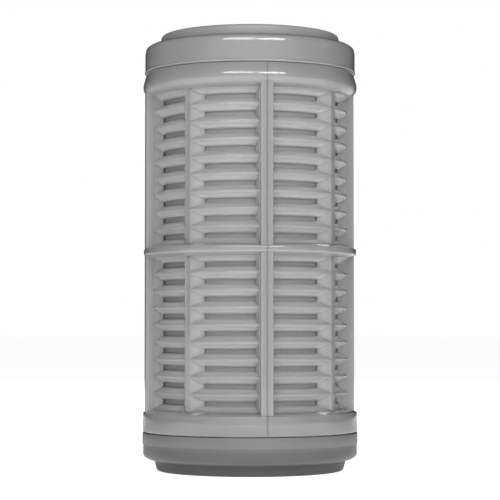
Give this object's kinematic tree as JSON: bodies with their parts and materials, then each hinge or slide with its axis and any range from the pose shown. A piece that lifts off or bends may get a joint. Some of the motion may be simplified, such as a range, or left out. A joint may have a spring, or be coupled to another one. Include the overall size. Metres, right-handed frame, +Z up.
{
  "type": "filter cartridge",
  "caption": "Cylindrical washable net filter cartridge: slatted half shells lined with net, held by round end caps with a through bore and a flat sealing gasket at each end.",
  "frame": {"origin": "centre of the bottom gasket's sealing face, on the cartridge's axis", "axes": "+Z up along the cartridge's axis, from the bottom gasket to the top gasket; -Y is the side seen from the front, and +X is to its right"},
  "size_m": [0.0628, 0.0628, 0.127],
  "materials": {
    "natural_plastic": "translucent natural polypropylene, satin to glossy",
    "nylon_net": "fine woven nylon net",
    "cap_plastic": "natural moulded polypropylene, satin",
    "grey_cap_plastic": "grey moulded plastic, satin",
    "pale_rubber": "soft translucent elastomer, satin",
    "dark_rubber": "soft dark elastomer, matt"
  },
  "bodies": {
    "root": {"cage_half_left": "natural_plastic", "cage_half_right": "natural_plastic", "net_half_left": "nylon_net", "net_half_right": "nylon_net", "end_cap_top": "cap_plastic", "end_cap_bottom": "grey_cap_plastic", "gasket_top": "pale_rubber", "gasket_bottom": "dark_rubber"}
  },
  "joints": []
}
